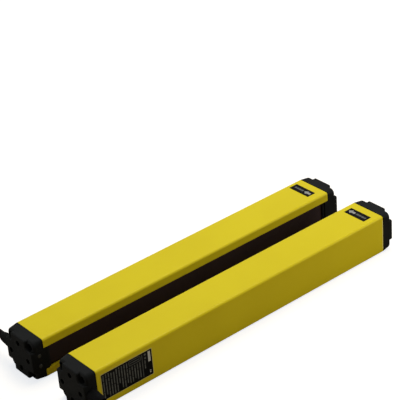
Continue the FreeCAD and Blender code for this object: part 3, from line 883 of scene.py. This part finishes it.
@dataclass(frozen=True)
class ReceiverCable:
    """The receiver's cable: out of its strain relief, down to the floor, a stored coil, the plug."""

    diameter: float = 5.2 * MM
    length: float = 0.322
    tuck: float = 4.0 * MM  # how far it starts inside the relief
    floor_level: float = 2.7 * MM
    turn_gap: float = 0.15 * MM  # between turns that lie on each other

    coil_centre: tuple[float, float] = (-180.4 * MM, 66.0 * MM)
    coil_radius: float = 28.6 * MM
    steps: int = 16  # points in a turn
    stored_turns: float = 1.25
    corner_cut: float = 0.7
    climb_start: float = 0.66  # in turns
    climb_length: float = 0.26  # in turns

    plug_level: float = 7.4 * MM
    tail: float = 20.0 * MM
    tail_points: Span = (0.5, 1.0)  # shares of the tail

    section_steps: int = 10
    curve_order: int = 3
    curve_steps: int = 8  # between two points

    # The lead from the relief to the coil, given point by point, in millimetres.
    ROUTE = (
        (-135.3, 53.675, 15.0),
        (-135.3, 62.975, 15.0),
        (-137.6, 72.1, 14.0),
        (-142.2, 80.4, 11.5),
        (-148.9, 87.3, 7.8),
        (-157.05, 92.2, 4.45),
        (-166.2, 94.6, 2.7),
        (-175.4, 94.6, 2.7),
    )

    @property
    def top_level(self) -> float:
        """Height of the cable's middle where it lies on its own first turn."""
        return self.floor_level + self.diameter + self.turn_gap

    def turns(self) -> list[Point]:
        """Points of the stored turns.

        The angle starts a quarter turn from +X, where the route ends, and runs on by the stored
        turns. The points lie a little outside the real radius, by the inverse cosine of half a step
        to the power of the corner cut, because the curve cuts inside its points. The height stays
        on the floor up to the climb's start, then rises to the top level by a smooth step.

        Returns:
            The points.
        """
        count = int(self.steps * self.stored_turns)
        turned = np.arange(1, count + 1) / self.steps
        angles = math.pi / 2 + 2 * math.pi * turned
        radius = self.coil_radius / math.cos(math.pi / self.steps) ** self.corner_cut
        climb = np.clip((turned - self.climb_start) / self.climb_length, 0, 1)
        rise = climb * climb * (3 - 2 * climb) * (self.top_level - self.floor_level)
        x = self.coil_centre[0] + radius * np.cos(angles)
        y = self.coil_centre[1] + radius * np.sin(angles)
        return list(zip(x, y, self.floor_level + rise))

    def points(self) -> list[Point]:
        """The whole line: a start inside the relief, the route, the turns and the plug's tail.

        Returns:
            The points.
        """
        route = [(x * MM, y * MM, z * MM) for x, y, z in self.ROUTE]
        start = route[0]
        inside = (start[0], start[1] - self.tuck, start[2])
        end_x, end_y = self.coil_centre[0] - self.coil_radius, self.coil_centre[1]
        tail = [(end_x, end_y - share * self.tail, self.plug_level) for share in self.tail_points]
        return [inside, *route, *self.turns(), *tail]

    def build(self, book: FinishBook) -> bpy.types.Object:
        """Makes the cable as one smooth line with a round section.

        Args:
            book: the materials.

        Returns:
            The cable.
        """
        curve = bpy.data.curves.new("receiver_cable", "CURVE")
        curve.dimensions = "3D"
        curve.bevel_depth = self.diameter / 2
        curve.bevel_resolution = self.section_steps
        curve.use_fill_caps = True
        spline = curve.splines.new("NURBS")
        points = self.points()
        spline.points.add(len(points) - 1)
        spline.points.foreach_set("co", np.array([(*point, 1.0) for point in points]).ravel())
        spline.order_u = self.curve_order
        spline.use_endpoint_u = True
        spline.resolution_u = self.curve_steps
        piece = linked("receiver_cable", curve)
        book.dress(piece, "cable_rubber")
        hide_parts("receiver_cable_lead", "receiver_cable_coil")
        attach(piece, BODY)
        return piece


@dataclass(frozen=True)
class CoilTie:
    """A soft band round the two turns where they lie on each other."""

    angle: float = math.radians(128)  # where it is on the coil
    width: float = 4.0 * MM
    thickness: float = 0.5 * MM
    low: float = 0.12 * MM  # no part of it is lower, where it lies on the floor
    squareness: float = 0.4  # 1 makes the strip's section an ellipse, 0 a rectangle
    path_steps: int = 64
    strip_steps: int = 16

    def _squared(self, wave: np.ndarray) -> np.ndarray:
        """Flattens a wave's crests: its size to the power of the squareness, with its sign kept."""
        return np.sign(wave) * np.abs(wave) ** self.squareness

    def build(self, cable: ReceiverCable, book: FinishBook) -> bpy.types.Object:
        """Makes the band.

        The band's path is a rounded upright slot round both turns: two half circles joined by
        straight sides. Its section is a rounded strip. Point (i, j) is path point i, moved along
        the path's outward normal and along the cable by strip point j.

        Args:
            cable: the cable whose turns it holds.
            book: the materials.

        Returns:
            The band.
        """
        around = np.linspace(0, 2 * math.pi, self.path_steps, endpoint=False)
        strip = np.linspace(0, 2 * math.pi, self.strip_steps, endpoint=False)
        reach = (cable.diameter + self.thickness) / 2 + self.thickness / 2 * self._squared(np.cos(strip))
        beside = self.width / 2 * self._squared(np.sin(strip))
        sideways = np.cos(around)[:, None] * reach
        middles = np.where(np.sin(around) >= 0, cable.top_level, cable.floor_level)
        height = np.maximum(middles[:, None] + np.sin(around)[:, None] * reach, self.low)
        outward = np.array([math.cos(self.angle), math.sin(self.angle)])
        forward = np.array([-outward[1], outward[0]])
        middle = np.array(cable.coil_centre) + cable.coil_radius * outward
        flat = middle + sideways[..., None] * outward + beside[:, None] * forward
        vertices = np.concatenate([flat, height[..., None]], axis=2).reshape(-1, 3)
        piece = new_piece("coil_tie", vertices, closed_grid(self.path_steps, self.strip_steps), smooth=True)
        book.hand_over(piece, "gasket_rubber")
        return piece


# ---------------------------------------------------------------------------
# Studio
# ---------------------------------------------------------------------------

@dataclass(frozen=True)
class StudioCamera:
    """A long lens that looks down on the pair from the emitter's cable end."""

    azimuth: float = math.radians(-37.92)
    elevation: float = math.radians(30.16)
    roll: float = math.radians(-4.70)
    distance: float = 1.22299
    target: Point = (88.03 * MM, 114.10 * MM, 0.0)
    lens: float = 141.526
    sensor: float = 36.0
    sight: Span = (0.01, 50.0)  # nearest and farthest that it sees

    def build(self) -> bpy.types.Object:
        """Makes the camera and makes it the scene's.

        Returns:
            The camera.
        """
        data = bpy.data.cameras.new("camera")
        data.sensor_width = self.sensor
        data.lens = self.lens
        data.clip_start, data.clip_end = self.sight
        back = Vector((math.sin(self.azimuth) * math.cos(self.elevation),
                       -math.cos(self.azimuth) * math.cos(self.elevation), math.sin(self.elevation)))
        right = Vector((math.cos(self.azimuth), math.sin(self.azimuth), 0.0))
        up = back.cross(right)
        rolled_right = right * math.cos(self.roll) + up * math.sin(self.roll)
        rolled_up = up * math.cos(self.roll) - right * math.sin(self.roll)
        turn = Matrix((rolled_right, rolled_up, back)).transposed().to_4x4()
        camera = linked("camera", data)
        camera.matrix_world = Matrix.Translation(Vector(self.target) + back * self.distance) @ turn
        bpy.context.scene.camera = camera
        return camera


@dataclass(frozen=True)
class Lamp:
    """One soft square lamp that points at a spot."""

    name: str
    place: Point
    aim: Point
    side: float
    power: float

    def build(self) -> bpy.types.Object:
        """Makes the lamp.

        Returns:
            The lamp.
        """
        data = bpy.data.lights.new(self.name, "AREA")
        data.shape = "SQUARE"
        data.size = self.side
        data.energy = self.power
        lamp = linked(self.name, data)
        lamp.location = self.place
        lamp.rotation_euler = (Vector(self.aim) - Vector(self.place)).to_track_quat("-Z", "Y").to_euler()
        return lamp


@dataclass(frozen=True)
class Studio:
    """Pale floor, soft lamps and an even surround."""

    floor_side: float = 8.0
    floor_level: float = -0.05 * MM
    floor_roughness: float = 0.9
    floor_colour: Colour = (0.43, 0.365, 0.27)  # in the light, and in what it throws back
    floor_lift: Colour = (0.75, 0.78, 0.82)  # added for the camera alone
    surround: Colour = (0.106, 0.088, 0.061)
    white: Colour = (1.0, 1.0, 1.0)
    lamps: tuple[Lamp, ...] = (
        Lamp("overhead", (0.40, 0.28, 1.40), (0.0, 0.0, 0.0), side=1.1, power=19.8),
        Lamp("near_right", (0.52, -0.38, 0.22), (0.14, -0.04, 0.015), side=0.24, power=1.5),
        Lamp("low_left", (-0.75, 0.30, 0.14), (-0.14, 0.0, 0.015), side=0.24, power=1.4),
    )

    def build(self) -> list[bpy.types.Object]:
        """Makes the floor, lamps and surround.

        Returns:
            The floor and the lamps.
        """
        pieces = [self._floor(), *(lamp.build() for lamp in self.lamps)]
        self._surround()
        bpy.context.scene.view_settings.view_transform = "Standard"
        return pieces

    def _floor(self) -> bpy.types.Object:
        """A flat sheet a hair under the object, lifted to pale for the camera alone.

        Returns:
            The floor.
        """
        half, z = self.floor_side / 2, self.floor_level
        corners = np.array([[-half, -half, z], [half, -half, z], [half, half, z], [-half, half, z]])
        floor = new_piece("floor", corners, [[0, 1, 2, 3]])
        material = bpy.data.materials.new("floor")
        sheet = NodeSheet.cleared(material)
        path = sheet.add("ShaderNodeLightPath")
        shader = sheet.add("ShaderNodeBsdfPrincipled")
        shader.inputs["Base Color"].default_value = (*self.floor_colour, 1)
        shader.inputs["Roughness"].default_value = self.floor_roughness
        shader.inputs["Specular IOR Level"].default_value = 0.0
        shader.inputs["Emission Color"].default_value = (*self.floor_lift, 1)
        sheet.join(path.outputs["Is Camera Ray"], shader.inputs["Emission Strength"])
        output = sheet.add("ShaderNodeOutputMaterial")
        sheet.join(shader.outputs["BSDF"], output.inputs["Surface"])
        floor.data.materials.append(material)
        return floor

    def _surround(self) -> None:
        """White to the camera and in gloss and glass, and a low warm grey as light on the object."""
        world = bpy.data.worlds.new("surround")
        sheet = NodeSheet.cleared(world)
        path = sheet.add("ShaderNodeLightPath")
        shown = path.outputs["Is Camera Ray"]
        for ray in ("Is Glossy Ray", "Is Transmission Ray"):
            either = sheet.add("ShaderNodeMath", operation="MAXIMUM")
            sheet.join(shown, either.inputs[0])
            sheet.join(path.outputs[ray], either.inputs[1])
            shown = either.outputs[0]
        mix = sheet.add("ShaderNodeMixShader")
        sheet.join(shown, mix.inputs[0])
        for colour, target in ((self.surround, mix.inputs[1]), (self.white, mix.inputs[2])):
            backdrop = sheet.add("ShaderNodeBackground")
            backdrop.inputs["Color"].default_value = (*colour, 1)
            backdrop.inputs["Strength"].default_value = 1.0
            sheet.join(backdrop.outputs[0], target)
        output = sheet.add("ShaderNodeOutputWorld")
        sheet.join(mix.outputs[0], output.inputs["Surface"])
        bpy.context.scene.world = world


# ---------------------------------------------------------------------------

def write_sizes() -> None:
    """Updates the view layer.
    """
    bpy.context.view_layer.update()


def report(*pieces: bpy.types.Object) -> None:
    """Names each piece that is ready in the log."""
    for piece in pieces:
        LOG.info("%s is ready", piece.name)


def main() -> None:
    """Builds the camera and finishes, then the cable, the print, the bare edge of the plate's film, the
    painted edge highlights and the studio.
    """
    logging.basicConfig(level=logging.INFO, format="%(name)s: %(message)s")
    report(StudioCamera().build())
    book = FinishBook(EffectShop())
    cable = ReceiverCable()
    cord = cable.build(book)
    tie = CoilTie().build(cable, book)
    report(cord, tie)
    LOG.info("%d packed nodes are dressed", book.dress_frame())
    report(*PlatePrint().build(book))
    report(*ArrowPrint("emitter_arrow_label", arrow_share=0.62).build(book))
    report(*ArrowPrint("receiver_arrow_label", arrow_share=0.06).build(book))
    # Painted highlights at the blind ends of the two housings.
    report(PaintedEdgeHighlight("emitter_housing", Side.NEAR).build(book))
    report(PaintedEdgeHighlight("receiver_housing", Side.FAR).build(book))
    report(*Studio().build())
    write_sizes()


if __name__ == "__main__":
    main()
